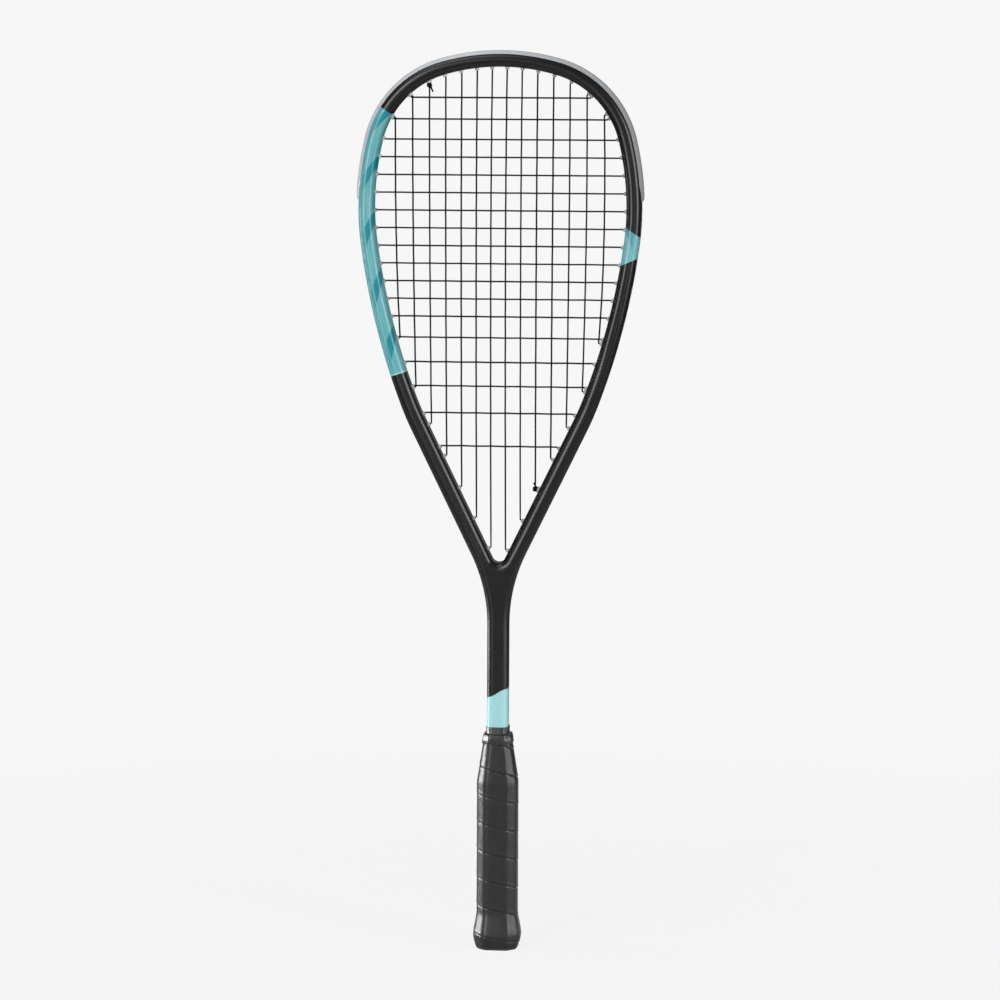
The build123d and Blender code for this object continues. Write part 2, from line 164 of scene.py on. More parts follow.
outer_arcs = Path(0, FRAME_TOP, 0, arcs(0, 0))
inner_arcs = Path(0, FRAME_TOP - TUBE_WIDTH_TOP, 0, arcs(TUBE_WIDTH_SIDE, LOWER_RADIUS_CUT))
leg_sin, leg_cos = sin(radians(LEG_ANGLE)), cos(radians(LEG_ANGLE))
OUTER_LEG = (outer_arcs.end[0] - SHAFT_WIDTH / 2 - THROAT_RADIUS * (1 - leg_cos)) / leg_sin
INNER_LEG = (inner_arcs.end[0] - THROAT_INNER_RADIUS * leg_cos) / leg_sin
BLEND = (THROAT_RADIUS * radians(LEG_ANGLE), 1 / THROAT_RADIUS)
blend_end = Path(0, FRAME_TOP, 0, arcs(0, 0) + [(OUTER_LEG, 0), BLEND]).end
SHAFT_LENGTH = blend_end[1] - FRAME_BOTTOM
outer_path = Path(0, FRAME_TOP, 0, arcs(0, 0) + [(OUTER_LEG, 0), BLEND, (SHAFT_LENGTH, 0)])
V_ARC = (THROAT_INNER_RADIUS * radians(90 - LEG_ANGLE), -1 / THROAT_INNER_RADIUS)
inner_path = Path(0, FRAME_TOP - TUBE_WIDTH_TOP, 0,
                  arcs(TUBE_WIDTH_SIDE, LOWER_RADIUS_CUT) + [(INNER_LEG, 0), V_ARC])
THROAT_BOTTOM = inner_path.end[1]


def ring_side(inset):
    """Outline inside the outer one, down the leg and along the start of the throat blend."""
    radius = THROAT_RADIUS + inset
    run_out = (radius * radians(GROOVE_RUN_OUT), 1 / radius)
    return Path(0, FRAME_TOP - inset, 0, arcs(inset, inset) + [(OUTER_LEG, 0), run_out])


def meet(test, low, high):
    """Length at which a test turns from negative to positive."""
    for _ in range(30):
        middle = (low + high) / 2
        if test(middle) < 0:
            low = middle
        else:
            high = middle
    return (low + high) / 2


# ---------------------------------------------------------------- materials
def material(name, **sockets):
    """A Principled material with constants on its own sockets."""
    made = bpy.data.materials.new(name)
    made.use_nodes = True
    shader = made.node_tree.nodes["Principled BSDF"]
    for socket, value in sockets.items():
        shader.inputs[socket.replace("_", " ")].default_value = value
    return made, made.node_tree, shader


def node(tree, kind, **values):
    """A node with its settings and socket values."""
    made = tree.nodes.new(kind)
    for key, value in values.items():
        if hasattr(made, key):
            setattr(made, key, value)
        else:
            made.inputs[key.replace("_", " ")].default_value = value
    return made


def math_node(tree, operation, a, b=None, c=None):
    """A sum of numbers and sockets."""
    made = node(tree, "ShaderNodeMath", operation=operation)
    for socket, value in zip(made.inputs, (a, b, c)):
        if value is None:
            continue
        if isinstance(value, (int, float)):
            socket.default_value = value
        else:
            tree.links.new(value, socket)
    return made.outputs[0]


def mix_colour(tree, factor, a, b):
    made = node(tree, "ShaderNodeMix", data_type="RGBA")
    for index, value in ((0, factor), (6, a), (7, b)):
        if isinstance(value, (int, float, tuple)):
            made.inputs[index].default_value = value
        else:
            tree.links.new(value, made.inputs[index])
    return made.outputs[2]


def position(tree):
    """Object coordinates in millimetres as separate X, Y, Z."""
    scaled = node(tree, "ShaderNodeVectorMath", operation="SCALE")
    scaled.inputs["Scale"].default_value = 1 / MM
    tree.links.new(node(tree, "ShaderNodeTexCoord").outputs["Object"], scaled.inputs[0])
    split = node(tree, "ShaderNodeSeparateXYZ")
    tree.links.new(scaled.outputs[0], split.inputs[0])
    return scaled.outputs[0], split.outputs[0], split.outputs[1], split.outputs[2]


def noise(tree, vector, scale, detail=2.0, roughness=0.5):
    made = node(tree, "ShaderNodeTexNoise", Scale=scale, Detail=detail, Roughness=roughness)
    tree.links.new(vector, made.inputs["Vector"])
    return made.outputs["Fac"]


def bump(tree, shader, height, strength, distance):
    made = node(tree, "ShaderNodeBump", Strength=strength, Distance=distance)
    tree.links.new(height, made.inputs["Height"])
    tree.links.new(made.outputs[0], shader.inputs["Normal"])


def map_range(tree, value, low, high, to_low=0.0, to_high=1.0):
    made = node(tree, "ShaderNodeMapRange", From_Min=low, From_Max=high, To_Min=to_low, To_Max=to_high)
    tree.links.new(value, made.inputs["Value"])
    return made.outputs[0]


def above_line(tree, x, z, a, b, soft=0.25):
    """1 on the left of the line from a to b in the XZ plane, 0 on the right."""
    length = hypot(b[0] - a[0], b[1] - a[1])
    nx, nz = -(b[1] - a[1]) / length, (b[0] - a[0]) / length
    offset = -(nx * a[0] + nz * a[1])
    distance = math_node(tree, "MULTIPLY_ADD", x, nx, math_node(tree, "MULTIPLY_ADD", z, nz, offset))
    return map_range(tree, distance, -soft, soft)


def both(tree, *masks):
    """1 where every mask is 1."""
    result = masks[0]
    for mask in masks[1:]:
        result = math_node(tree, "MULTIPLY", result, mask)
    return result


# Paint.
BLACK = (0.0015, 0.0016, 0.0018, 1)
TEAL = (0.066, 0.285, 0.318, 1)
DEEP_TEAL = (0.001, 0.175, 0.215, 1)
PALE_TEAL = (0.125, 0.330, 0.350, 1)
PALE_AQUA = (0.255, 0.475, 0.490, 1)
# Lines in the XZ plane that bound the colour zones of the hoop's sides, each with its zone on the left.
LEFT_ZONE = [((-81.8, 638.2), (-89.6, 643.5)), ((-82.9, 440.1), (-71.6, 443.8)), ((0, 0), (0, 100))]
RIGHT_ZONE = [((105.9, 547.2), (95.3, 554.8)), ((91.6, 525.7), (104.1, 531.1)), ((0, 100), (0, 0))]
TRIM_LINE = ((-71.6, 444.8), (-82.9, 441.1))
# Upper edge of the zone on the shaft: a sine wave of this height, rise and turn per millimetre.
SHAFT_ZONE_TOP = 199.3
SHAFT_ZONE_RISE = 3.3
SHAFT_ZONE_TURN = 0.2
# Slanting bars: one per pitch, between an outer line up to the reach and an inner line.
BAR_PITCH = 43.0
BAR_TOP = 607.0
BAR_REACH = 7.0
BAR_OUTER_SLOPE = 0.62
BAR_INNER_SLOPE = 0.45
BAR_INNER_START = -4.4


def inside_edge(tree, x, z):
    """Distance of a point from the inner edge of the hoop's side, arc by arc."""
    result = None
    abs_x = math_node(tree, "ABSOLUTE", x)
    start = 0.0
    for length, curvature in arcs(TUBE_WIDTH_SIDE, LOWER_RADIUS_CUT):
        from_x, from_z, heading = inner_arcs.at(start)
        start += length
        radius = -1 / curvature
        centre = (from_x + radius * sin(heading), from_z - radius * cos(heading))
        dx = math_node(tree, "SUBTRACT", abs_x, centre[0])
        dz = math_node(tree, "SUBTRACT", z, centre[1])
        away = math_node(tree, "SQRT", math_node(tree, "ADD", math_node(tree, "MULTIPLY", dx, dx),
                                                 math_node(tree, "MULTIPLY", dz, dz)))
        distance = math_node(tree, "SUBTRACT", away, radius)
        if result is None:
            result = distance
        else:
            below = math_node(tree, "LESS_THAN", z, from_z)
            mixed = node(tree, "ShaderNodeMix", data_type="FLOAT")
            tree.links.new(below, mixed.inputs[0])
            tree.links.new(result, mixed.inputs[2])
            tree.links.new(distance, mixed.inputs[3])
            result = mixed.outputs[0]
    return result


def slanting_bar(tree, edge, z, later, outward):
    """Mask of the bars. They start on the inner edge and taper off towards the outer one."""
    phase = math_node(tree, "FRACT", math_node(tree, "MULTIPLY_ADD", z, -1 / BAR_PITCH,
                                               (BAR_TOP - later) / BAR_PITCH))
    down = math_node(tree, "MULTIPLY", phase, BAR_PITCH)
    from_edge = math_node(tree, "SUBTRACT", edge, outward)
    outer = math_node(tree, "MINIMUM", math_node(tree, "MULTIPLY", down, BAR_OUTER_SLOPE), BAR_REACH)
    inner = math_node(tree, "MULTIPLY_ADD", down, BAR_INNER_SLOPE, BAR_INNER_START)
    return both(tree, map_range(tree, math_node(tree, "SUBTRACT", outer, from_edge), -0.2, 0.2),
                map_range(tree, math_node(tree, "SUBTRACT", from_edge, inner), -0.2, 0.2))


def lacquer_material():
    """Black lacquer with the colour zones of the limbs and the shaft."""
    made, tree, shader = material("lacquer", Roughness=0.30, Specular_IOR_Level=0.38)
    vector, x, _, z = position(tree)
    left = both(tree, *(above_line(tree, x, z, *line) for line in LEFT_ZONE))
    right = both(tree, *(above_line(tree, x, z, *line) for line in RIGHT_ZONE))
    turn = math_node(tree, "MULTIPLY", x, SHAFT_ZONE_TURN)
    wave = math_node(tree, "MULTIPLY_ADD", math_node(tree, "SINE", turn), SHAFT_ZONE_RISE, SHAFT_ZONE_TOP)
    shaft = math_node(tree, "LESS_THAN", z, wave)
    # Each slanting bar has a fainter one beside it; pale streaks run along the limb.
    edge = inside_edge(tree, x, z)
    bar = slanting_bar(tree, edge, z, 0.0, 0.0)
    faint = slanting_bar(tree, edge, z, 5.0, 2.4)
    stretched = node(tree, "ShaderNodeCombineXYZ")
    tree.links.new(math_node(tree, "MULTIPLY", edge, 1.1), stretched.inputs[0])
    tree.links.new(math_node(tree, "MULTIPLY", z, 0.045), stretched.inputs[2])
    streak = map_range(tree, noise(tree, stretched.outputs[0], 1.0, 2), 0.42, 0.62)
    teal = mix_colour(tree, streak, TEAL, PALE_TEAL)
    teal = mix_colour(tree, math_node(tree, "MULTIPLY", faint, 0.35), teal, DEEP_TEAL)
    teal = mix_colour(tree, bar, teal, DEEP_TEAL)
    trim = above_line(tree, x, z, *TRIM_LINE)
    paint = mix_colour(tree, left, BLACK, mix_colour(tree, trim, teal, PALE_AQUA))
    paint = mix_colour(tree, right, paint, mix_colour(tree, 0.22, teal, PALE_AQUA))
    paint = mix_colour(tree, shaft, paint, PALE_AQUA)
    tree.links.new(paint, shader.inputs["Base Color"])
    rough = map_range(tree, noise(tree, vector, 0.2, 1), 0.3, 0.7, 0.29, 0.32)
    tree.links.new(rough, shader.inputs["Roughness"])
    bump(tree, shader, noise(tree, vector, 0.3, 1), 0.012, 0.0002)
    return made


def plastic_material(name, colour, roughness, transmission=0.0, grain=3.0, spread=0.06, strength=0.08, right=1.0,
                     **more):
    """Moulded or drawn plastic. Grain, spread and strength are those of its unevenness, and right is the share of its
    colour that is left on the right-hand side, as painted shade that darkens the part towards the right."""
    made, tree, shader = material(name, Roughness=roughness, Transmission_Weight=transmission, **more)
    vector, x, _, _ = position(tree)
    low = tuple(value * (1 - spread) for value in colour) + (1,)
    high = tuple(min(1, value * (1 + spread)) for value in colour) + (1,)
    surface_colour = mix_colour(tree, noise(tree, vector, grain / 8, 3), low, high)
    # Painted shade: the colour fades towards the right-hand side, standing in for the shade that falls there.
    if right != 1:
        painted_shade_colour = tuple(value * right for value in colour) + (1,)
        surface_colour = mix_colour(tree, map_range(tree, x, -20, 100), surface_colour, painted_shade_colour)
    tree.links.new(surface_colour, shader.inputs["Base Color"])
    rough = map_range(tree, noise(tree, vector, grain / 3, 3), 0.3, 0.7, roughness * 0.85, roughness * 1.15)
    tree.links.new(rough, shader.inputs["Roughness"])
    bump(tree, shader, noise(tree, vector, grain, 4), strength, 0.0001)
    return made


def wrap_material():
    """Black grip wrap with fine pores."""
    made, tree, shader = material("grip_wrap", Roughness=0.33, Specular_IOR_Level=0.42)
    vector = position(tree)[0]
    mottle = noise(tree, vector, 0.25, 4)
    colour = mix_colour(tree, mottle, (0.003, 0.0031, 0.0033, 1), (0.007, 0.0072, 0.0076, 1))
    tree.links.new(colour, shader.inputs["Base Color"])
    pores = noise(tree, vector, 3.2, 5, 0.65)
    tree.links.new(map_range(tree, pores, 0.3, 0.7, 0.27, 0.40), shader.inputs["Roughness"])
    bump(tree, shader, pores, 0.35, 0.00015)
    return made


def wire_material():
    """Bright steel wire."""
    made, tree, shader = material("staple_wire", Metallic=1.0, Roughness=0.35)
    vector = position(tree)[0]
    colour = mix_colour(tree, noise(tree, vector, 1.5, 3), (0.55, 0.55, 0.56, 1), (0.68, 0.68, 0.68, 1))
    tree.links.new(colour, shader.inputs["Base Color"])
    return made


lacquer = lacquer_material()
clear_nylon = plastic_material("clear_nylon", (0.50, 0.54, 0.60), 0.36, transmission=0.4, IOR=1.4)
# The guard carries painted shade: its colour halves towards the right-hand side (right=0.5).
guard_nylon = plastic_material("guard_nylon", (0.76, 0.79, 0.83), 0.36, transmission=0.45, right=0.5, IOR=1.4)
string_gut = plastic_material("string_gut", (0.002, 0.002, 0.0022), 0.55, grain=6.0, spread=0.2, strength=0.15,
                              Specular_IOR_Level=0.1)
cap_plastic = plastic_material("cap_plastic", (0.02, 0.02, 0.021), 0.5, grain=4.0, spread=0.1, strength=0.2)
pallet_foam = plastic_material("pallet_foam", (0.70, 0.62, 0.44), 0.85, grain=2.0, spread=0.12, strength=0.6)
tape_film = plastic_material("tape_film", (0.010, 0.010, 0.011), 0.34, grain=0.8, spread=0.1, strength=0.3)
grip_wrap = wrap_material()
staple_wire = wire_material()


# ---------------------------------------------------------------- mesh building
SHARP_ANGLE = 35


def mesh_object(name, vertices, faces, surface, sharp=SHARP_ANGLE):
    """An object from vertices in millimetres, smooth except for edges sharper than an angle in degrees."""
    mesh = bpy.data.meshes.new(name)
    mesh.from_pydata([(x * MM, y * MM, z * MM) for x, y, z in vertices], [], faces)
    mesh.validate()
    made = bpy.data.objects.new(name, mesh)
    bpy.context.scene.collection.objects.link(made)
    mesh.materials.append(surface)
    mesh.shade_smooth()
    mesh.set_sharp_from_angle(angle=radians(sharp))
    return made


def grid_faces(rings, count, closed, offset=0):
    """Quads between successive rings of the same number of vertices."""
    faces = []
    for ring in range(rings - 1):
        for k in range(count if closed else count - 1):
            a = offset + ring * count + k
            b = offset + ring * count + (k + 1) % count
            faces.append((a, b, b + count, a + count))
    return faces


def weld(piece, distance=0.02, sharp=SHARP_ANGLE):
    """Merge doubled vertices, turn all faces outwards and mark the sharp edges again."""
    bm = bmesh.new()
    bm.from_mesh(piece.data)
    bmesh.ops.remove_doubles(bm, verts=bm.verts, dist=distance * MM)
    bmesh.ops.recalc_face_normals(bm, faces=bm.faces)
    bm.to_mesh(piece.data)
    bm.free()
    piece.data.shade_smooth()
    piece.data.set_sharp_from_angle(angle=radians(sharp))


# ---------------------------------------------------------------- frame
# Cuts across the tube, measured in from either outline, close together where its edge is rounded.
EDGE_CUTS = [0, 0.05, 0.2, 0.4, 0.65, 0.95, 1.3, 1.7, 2.1, 2.5, 2.9, 3.3, 3.7, 4.1, 4.5, 4.9, 5.2]
EDGE_CUTS_ROOM = 5.3
MIDDLE_CUTS = 3
CUTS_ACROSS = 2 * (len(EDGE_CUTS) + MIDDLE_CUTS) - 1
TUBE_STEP = 2.2
THROAT_STEP = 1.0
LINE_PIECES = 1200
OUTER_LEG_END = outer_arcs.length + OUTER_LEG


def both_sides(half):
    """Half a section's (y, inset) points and their mirror images across the string plane."""
    return half + [(-level, inset) for level, inset in reversed(half)]


def frame_stations():
    """Sections along the tube: a length along the outer outline, and one along the inner one and the centre line."""
    inner_end = inner_path.length
    pairs = [(0.0, 0.0)]
    out_s = in_s = 0.0
    for (out_length, _), (in_length, _) in zip(arcs(0, 0), arcs(TUBE_WIDTH_SIDE, LOWER_RADIUS_CUT)):
        out_s, in_s = out_s + out_length, in_s + in_length
        pairs.append((out_s, in_s))
    pairs.append((OUTER_LEG_END + 8.0, inner_arcs.length + INNER_LEG))
    pairs.append((OUTER_LEG_END + 17.0, inner_end))
    # From 34 mm below the throat on, the sections lie level.
    level_s = meet(lambda s: THROAT_BOTTOM - 34 - outer_path.at(s)[1], OUTER_LEG_END, outer_path.length)
    pairs.append((level_s, inner_end + 34))
    pairs.append((outer_path.length, inner_end + THROAT_BOTTOM - FRAME_BOTTOM))
    stations = []
    for (s0, t0), (s1, t1) in zip(pairs, pairs[1:]):
        step = THROAT_STEP if OUTER_LEG_END - 5 < s0 < level_s - 1 else TUBE_STEP
        steps = max(2, round((s1 - s0) / step))
        stations += [(s0 + (s1 - s0) * k / steps, t0 + (t1 - t0) * k / steps) for k in range(steps)]
    return stations + [pairs[-1]]


def across_tube(s, t):
    """Points in the XZ plane across one section, from the outer outline in."""
    x0, z0, _ = outer_path.at(s)
    if t <= inner_path.length:
        x1, z1, _ = inner_path.at(t)
    else:
        x1, z1 = 0.0, THROAT_BOTTOM - (t - inner_path.length)
    length = hypot(x1 - x0, z1 - z0)
    scale = min(1.0, length / 2 / EDGE_CUTS_ROOM)
    cuts = [cut * scale for cut in EDGE_CUTS]
    cuts += [cuts[-1] + (length / 2 - cuts[-1]) * k / MIDDLE_CUTS for k in range(1, MIDDLE_CUTS + 1)]
    cuts += [length - cut for cut in reversed(cuts[:-1])]
    return [(x0 + (x1 - x0) * cut / length, z0 + (z1 - z0) * cut / length) for cut in cuts]


def distances_from(path, points):
    """Distance of each point from a path, taken as a line of short straight pieces."""
    line = np.array([path.at(path.length * k / LINE_PIECES)[:2] for k in range(LINE_PIECES + 1)])
    begin, run = line[:-1], line[1:] - line[:-1]
    distances = np.empty(len(points))
    batch = 500
    for start in range(0, len(points), batch):
        gap = points[start:start + batch, None, :] - begin
        share = np.clip((gap * run).sum(2) / (run ** 2).sum(1), 0, 1)
        distances[start:start + batch] = np.sqrt(((gap - share[..., None] * run) ** 2).sum(2)).min(1)
    return distances


def build_frame():
    stations = frame_stations()
    flat = np.array([point for station in stations for point in across_tube(*station)])
    reach = ROUND_REACH + np.interp(flat[:, 1], CROWN_HEIGHTS, [0, LEG_CROWN, LEG_CROWN, 0])

    def drop(distance):
        """How far the rounded edge falls away at a distance from an outline."""
        inside = np.clip(1 - distance / reach, 0, 1)
        return EDGE_RADIUS * (1 - np.sqrt(1 - inside ** 2))

    half = FRAME_DEPTH / 2
    level = half - drop(distances_from(outer_path, flat)) - drop(distances_from(inner_path, flat))

    # The two faces.
    vertices = [(x, -y, z) for (x, z), y in zip(flat, level)]
    faces = grid_faces(len(stations), CUTS_ACROSS, False)
    faces += grid_faces(len(stations), CUTS_ACROSS, False, len(vertices))
    vertices += [(x, y, z) for (x, z), y in zip(flat, level)]

    # The outside, with the groove: (y, share of the groove's depth, or millimetres where that is less).
    side_y = half - EDGE_RADIUS
    wall = both_sides([(side_y, 0), (3.4, 0), (GROOVE_WIDTH / 2 + 0.15, 0), (GROOVE_WIDTH / 2, 0.15),
                       (GROOVE_WIDTH / 2, 1)])
    groove_end = OUTER_LEG_END + THROAT_RADIUS * radians(GROOVE_RUN_OUT)
    faces += grid_faces(len(stations), len(wall), False, len(vertices))
    for s, _ in stations:
        x, z, heading = outer_path.at(s)
        depth = GROOVE_DEPTH * min(1.0, max(0.0, (groove_end - s) / 6))
        for y, share in wall:
            inset = share * depth if share in (0, 1) else min(share, depth)
            vertices.append((x + sin(heading) * inset, y, z - cos(heading) * inset))

    # The inside.
    inner_levels = (side_y, 2.4, 0, -2.4, -side_y)
    inner_stations = [t for _, t in stations if t <= inner_path.length + 1e-6]
    faces += grid_faces(len(inner_stations), len(inner_levels), False, len(vertices))
    for t in inner_stations:
        x, z, _ = inner_path.at(t)
        vertices += [(x, y, z) for y in inner_levels]

    # The other side of the racket.
    count = len(vertices)
    vertices += [(-x, y, z) for x, y, z in vertices]
    faces += [tuple(count + v for v in reversed(face)) for face in faces]
    piece = mesh_object("frame_tube", vertices, faces, lacquer)
    weld(piece)
    return piece


# ---------------------------------------------------------------- bands round the hoop
def band(name, stations, profile, surface, mirrored):
    """Closed section swept along (x, z, heading) stations. profile(index) gives its (y, inset) points."""
    vertices = []
    for index, (x, z, heading) in enumerate(stations):
        for level, inset in profile(index):
            vertices.append((x + sin(heading) * inset, level, z - cos(heading) * inset))
    count = len(profile(0))
    faces = grid_faces(len(stations), count, True)
    faces.append(tuple(range(count)))
    faces.append(tuple(reversed(range(len(vertices) - count, len(vertices)))))
    if mirrored:
        vertices = [(-x, y, z) for x, y, z in vertices]
    piece = mesh_object(name, vertices, faces, surface)
    weld(piece, 0.001)
    return piece


def round_tube(origin, axis, profile, sides=14):
    """Vertices and faces of a ring turned round an axis; profile is (radius, distance along the axis)."""
    axis = Vector(axis).normalized()
    across = axis.cross(Vector((0, 1, 0))).normalized()
    other = axis.cross(across)
    vertices = []
    for radius, along in profile:
        for k in range(sides):
            turn = 2 * pi * k / sides
            point = Vector(origin) + axis * along + (across * cos(turn) + other * sin(turn)) * radius
            vertices.append(tuple(point))
    return vertices, grid_faces(len(profile), sides, True)


# ---------------------------------------------------------------- string holes
channel_path = ring_side(STRING_INSET)
hole_line = Path(0, FRAME_TOP - TUBE_WIDTH_TOP, 0, arcs(TUBE_WIDTH_SIDE, LOWER_RADIUS_CUT) + [(INNER_LEG, 0)])
widest = meet(lambda s: -pi / 2 - hole_line.at(s)[2], 0, hole_line.length)


class Hole:
    """A string hole square through the tube. side is -1 on the left and 1 on the right."""

    def __init__(self, along, side):
        self.along, self.side = along, side
        x, z, heading = hole_line.at(along)
        out_x, out_z = -sin(heading), cos(heading)

        def ahead(s):
            px, pz, _ = channel_path.at(s)
            return (px - x) * cos(heading) + (pz - z) * sin(heading)

        self.channel = meet(ahead, 0, channel_path.length)
        px, pz, _ = channel_path.at(self.channel)
        self.outward = Vector((side * out_x, 0, out_z))
        self.wall = Vector((side * x, 0, z))
        self.mouth = self.wall - self.outward * BARREL_REACH
        self.bend = self.mouth - self.outward * STRING_BEND
        self.outer = Vector((side * px, 0, pz))


def bend_at(along):
    """Where a string leaves a barrel at this place and bends into the bed."""
    x, z, heading = hole_line.at(along)
    reach = BARREL_REACH + STRING_BEND
    return x + sin(heading) * reach, z - cos(heading) * reach


def main_hole(number, side, end):
    """Hole of a main, counted from the middle, at the "top" or "bottom" of the bed."""
    pitch, spread, shift = MAIN_ENDS[end]
    x = pitch * (number - 0.5) + spread * (number - 1) ** 2 + side * shift
    if end == "top":
        return Hole(meet(lambda s: bend_at(s)[0] - x, 0, widest), side)
    return Hole(meet(lambda s: x - bend_at(s)[0], widest, hole_line.length), side)


numbers = [(number, side) for number in range(1, MAINS_PER_SIDE + 1) for side in (-1, 1)]
main_tops = {key: main_hole(*key, "top") for key in numbers}
main_bottoms = {key: main_hole(*key, "bottom") for key in numbers}
cross_ends = {}
level = RACKET_TOP - FIRST_CROSS_DROP
for row, gap in enumerate([0.0] + CROSS_GAPS, 1):
    level -= gap
    along = meet(lambda s: level - bend_at(s)[1], 0, hole_line.length)
    for side in (-1, 1):
        cross_ends[row, side] = Hole(along, side)
CROSS_COUNT = len(CROSS_GAPS) + 1
top_tie = Hole(main_tops[5, -1].along - EXTRA_HOLE_SHIFT, -1)
bottom_tie = Hole(main_bottoms[3, 1].along - EXTRA_HOLE_SHIFT, 1)
holes = [*main_tops.values(), *main_bottoms.values(), *cross_ends.values(), top_tie, bottom_tie]
TUNNEL_Z = THROAT_BOTTOM - TUNNEL_DROP
tunnel_along = meet(lambda s: TUNNEL_Z - channel_path.at(s)[1], 0, channel_path.length)


def barrel_shells(own_holes):
    """Barrels that reach in from the groove through the tube, with a rounded lip."""
    profile = [(1.5, -3.0), (1.5, BARREL_REACH - 0.3), (1.38, BARREL_REACH - 0.06), (1.2, BARREL_REACH),
               (0.86, BARREL_REACH), (0.76, BARREL_REACH - 0.2), (0.76, -3.0)]
    vertices, faces = [], []
    for hole in own_holes:
        more, rings = round_tube(hole.wall, -hole.outward, profile)
        faces += [tuple(v + len(vertices) for v in face) for face in rings]
        vertices += more
    return vertices, faces


def add_shells(piece, vertices, faces):
    """Join loose shells to a piece's mesh."""
    extra = mesh_object("extra", vertices, faces, piece.data.materials[0])
    with bpy.context.temp_override(active_object=piece, selected_editable_objects=[piece, extra]):
        bpy.ops.object.join()


bumper_reach = meet(lambda s: -radians(BUMPER_END) - channel_path.at(s)[2], 0, channel_path.length)


def build_bumper():
    outer_end = meet(lambda s: -radians(BUMPER_END) - outer_arcs.at(s)[2], 0, outer_arcs.length)
    skin = Path(0, RACKET_TOP, 0, arcs(-BUMPER_SIDE, -BUMPER_SIDE))
    steps = 150
    side = []
    for k in range(steps + 1):
        s = outer_end * k / steps
        x, z, heading = outer_arcs.at(s)
        skin_s = meet(lambda v: heading - skin.at(v)[2], 0, skin.length) if k else 0.0
        skin_x, skin_z, _ = skin.at(skin_s)
        thickness = (skin_x - x) * -sin(heading) + (skin_z - z) * cos(heading)
        side.append((x, z, heading, thickness, s))
    stations = [(-x, z, -heading, thickness, s) for x, z, heading, thickness, s in reversed(side[1:])] + side

    def profile(index):
        """The guard's back lies t outside the frame; its flanges roll over the frame's rounding. Both taper at
        the ends."""
        _, _, _, thickness, s = stations[index]
        t = -thickness * sqrt(min(1.0, (outer_end - s) / 4 + 0.35))
        h = FLANGE_HALF_WIDTH * min(1.0, 0.7 + 0.3 * (outer_end - s) / 12)
        lane = CHANNEL_WIDTH / 2
        outside = [(h, 0.85), (h, 0.45), (h - 0.5, 0.0), (h - 1.1, t * 0.4), (h - 1.9, t * 0.75), (h - 2.8, t * 0.94),
                   (h - 3.6, t), (lane + 0.3, t), (lane, t + 0.3), (lane, GROOVE_DEPTH - STRIP_FLOOR)]
        return both_sides(outside) + [(-4.6, 0.15), (-2.5, GROOVE_DEPTH), (2.5, GROOVE_DEPTH), (4.6, 0.15)]

    piece = band("bumper_shell", [station[:3] for station in stations], profile, guard_nylon, False)
    add_shells(piece, *barrel_shells([hole for hole in holes if hole.channel < bumper_reach]))
    return piece


def build_strip(side):
    start = meet(lambda s: -radians(BUMPER_END + 0.6) - outer_path.at(s)[2], 0, outer_arcs.length)
    end = OUTER_LEG_END + THROAT_RADIUS * radians(GROOVE_RUN_OUT)
    steps = 160
    stations = [outer_path.at(start + (end - start) * k / steps) for k in range(steps + 1)]

    def profile(index):
        top = 0.15 + 2.0 * max(0.0, 1 - (steps - index) / 4)
        half, lane = GROOVE_WIDTH / 2 - 0.05, CHANNEL_WIDTH / 2
        return both_sides([(half, GROOVE_DEPTH), (half, top + 0.2), (half - 0.2, top), (lane + 0.15, top),
                           (lane, top + 0.15), (lane, GROOVE_DEPTH - STRIP_FLOOR)])

    name = "strip_left" if side < 0 else "strip_right"
    piece = band(name, stations, profile, clear_nylon, side < 0)
    own = [hole for hole in holes if hole.channel > bumper_reach and hole.side == side]
    add_shells(piece, *barrel_shells(own))
    return piece


# ---------------------------------------------------------------- string
def channel_points(start, finish, side, lane):
    """Points down the outer channel between two places on it. Lanes -1 and 1 keep strings clear of each other."""
    corner = LANE_START if finish > start else -LANE_START
    start, finish = start + corner, finish - corner
    steps = max(1, round(abs(finish - start) / 2.5))
    points = []
    for step in range(steps + 1):
        x, z, _ = channel_path.at(start + (finish - start) * step / steps)
        points.append(Vector((side * x, lane * LANE_OFFSET, z)))
    return points


def link(start, finish, lane):
    """Along the channel from one hole to another."""
    return [start.outer, *channel_points(start.channel, finish.channel, start.side, lane), finish.outer]


def main_at(main, height):
    """A main's x at a height: mains lie slightly out of line, most of all in the middle of the bed."""
    number, side = main
    top, bottom = main_tops[main].bend, main_bottoms[main].bend
    straight = top.x + (bottom.x - top.x) * (top.z - height) / (top.z - bottom.z)
    sway = MAIN_SWAY * (number - 5) + side * MAIN_BOW * (number / MAINS_PER_SIDE) ** 4
    reach = (top.z if height > SWAY_HEIGHT else bottom.z) - SWAY_HEIGHT
    return straight + sway * (1 - ((height - SWAY_HEIGHT) / reach) ** 2)


def crossing(main, row):
    """Where a main and a cross meet, as (x, z), or None."""
    height = cross_ends[row, 1].bend.z
    if not main_bottoms[main].bend.z < height < main_tops[main].bend.z:
        return None
    return main_at(main, height), height


def over(main, row):
    """1 where the cross passes behind the main, -1 where it passes in front."""
    number, side = main
    order = number if side > 0 else 1 - number
    return (-1) ** (order + row)


def waved(start, finish, marks):
    """Points between two ends that swing from one mark's level to the next in half waves."""
    line = [(start, start.y)] + marks + [(finish, finish.y)]
    points = []
    for (a, low), (b, high) in zip(line, line[1:]):
        for step in range(WAVE_STEPS):
            share = step / WAVE_STEPS
            point = a.lerp(b, share)
            point.y = low + (high - low) * (1 - cos(pi * share)) / 2
            points.append(point)
    return points + [finish.copy()]


